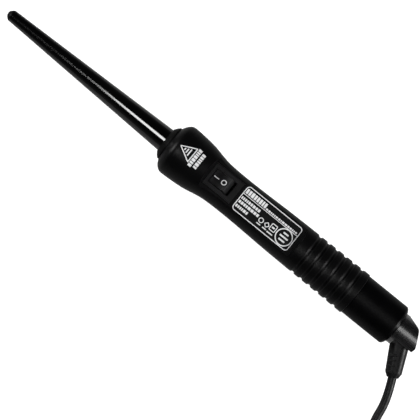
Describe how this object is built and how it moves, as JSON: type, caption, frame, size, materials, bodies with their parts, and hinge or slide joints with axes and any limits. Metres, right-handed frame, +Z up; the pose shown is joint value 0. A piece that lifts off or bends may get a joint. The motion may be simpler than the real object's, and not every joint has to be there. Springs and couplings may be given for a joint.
{
  "type": "curling wand",
  "caption": "Tapered hair curling wand with a glossy barrel, waisted handle with a flat switch panel, rocker switch, grooved grip and a turning elbow cord swivel.",
  "frame": {"origin": "under the middle of the wand's length (barrel tip to swivel end), on the surface that its widest ring touches", "axes": "+X along the wand from the barrel's tip to the cord end, +Z up out of the switch panel, +Y completes the right-handed frame"},
  "size_m": [0.515, 0.1282, 0.0408],
  "materials": {
    "barrel_enamel": "gloss black ceramic enamel on the barrel tube",
    "handle_soft_touch": "satin soft-touch black moulding",
    "collar_black": "dark heat-resistant moulding",
    "gloss_black": "polished black moulding",
    "switch_black": "fine-grained black switch moulding",
    "label_film": "thin black film",
    "cord_pvc": "soft black PVC",
    "plug_pvc": "moulded black PVC",
    "tie_strap": "black hook-and-loop strap",
    "nickel": "nickel-plated brass",
    "steel": "zinc-plated steel",
    "aluminium": "extruded aluminium",
    "brass": "brass strip",
    "stone_ceramic": null,
    "film_amber": "amber polyimide film",
    "mica_white": "heat-resistant insulating ring",
    "wire_red": "silicone wire insulation",
    "wire_blue": "silicone wire insulation",
    "nylon_white": "white nylon",
    "fuse_case": "fuse case in a glass-fibre sleeve"
  },
  "bodies": {
    "handle": {"barrel_shell": "barrel_enamel", "barrel_tip_plug": "barrel_enamel", "heat_spreader_upper": "aluminium", "heat_spreader_lower": "aluminium", "ptc_heater_stones": "stone_ceramic", "electrode_plates": "brass", "insulation_film": "film_amber", "thermal_fuse": "fuse_case", "barrel_flange": "steel", "heat_insulator": "mica_white", "barrel_collar": "collar_black", "handle_upper_shell": "handle_soft_touch", "handle_lower_shell": "handle_soft_touch", "handle_screws": "steel", "rear_sleeve": "handle_soft_touch", "rating_label": "label_film", "switch_housing": "switch_black", "switch_terminals": "brass", "spade_connectors": "nylon_white", "wire_supply_live": "wire_red", "wire_switched_live": "wire_red", "wire_neutral": "wire_blue", "brush_holder": "nylon_white", "brush_contacts": "brass"},
    "rocker": {"rocker_button": "switch_black", "rocker_plunger": "nylon_white", "plunger_spring": "steel"},
    "see_saw": {"contact_lever": "brass"},
    "cord_swivel": {"slip_rings": "brass", "slip_ring_carrier": "nylon_white", "swivel_retainer": "steel", "swivel_cap_upper": "gloss_black", "swivel_cap_lower": "gloss_black", "strain_relief": "cord_pvc", "cord_cores": "wire_blue", "cord_tube": "cord_pvc", "cord_coil": "cord_pvc", "cord_tie": "tie_strap", "cord_tail": "cord_pvc", "plug_body": "plug_pvc", "plug_pins": "nickel", "pin_sleeves": "plug_pvc"}
  },
  "joints": [
    {"name": "rocker_tilt", "type": "hinge", "parent": "handle", "child": "rocker", "pos_m": [0.0077, 0, 0.0248], "axis": [0, 1, 0], "range_deg": [0, 30]},
    {"name": "lever_tilt", "type": "hinge", "parent": "handle", "child": "see_saw", "pos_m": [0.0077, 0, 0.0194], "axis": [0, 1, 0], "range_deg": [-15, 0]},
    {"name": "swivel_turn", "type": "hinge", "parent": "handle", "child": "cord_swivel", "pos_m": [0.16585, 0, 0.0204], "axis": [-1, 0, 0], "continuous": true}
  ],
  "couplings": [
    {"joint": "lever_tilt", "follows": "rocker_tilt", "ratio": -0.5}
  ]
}
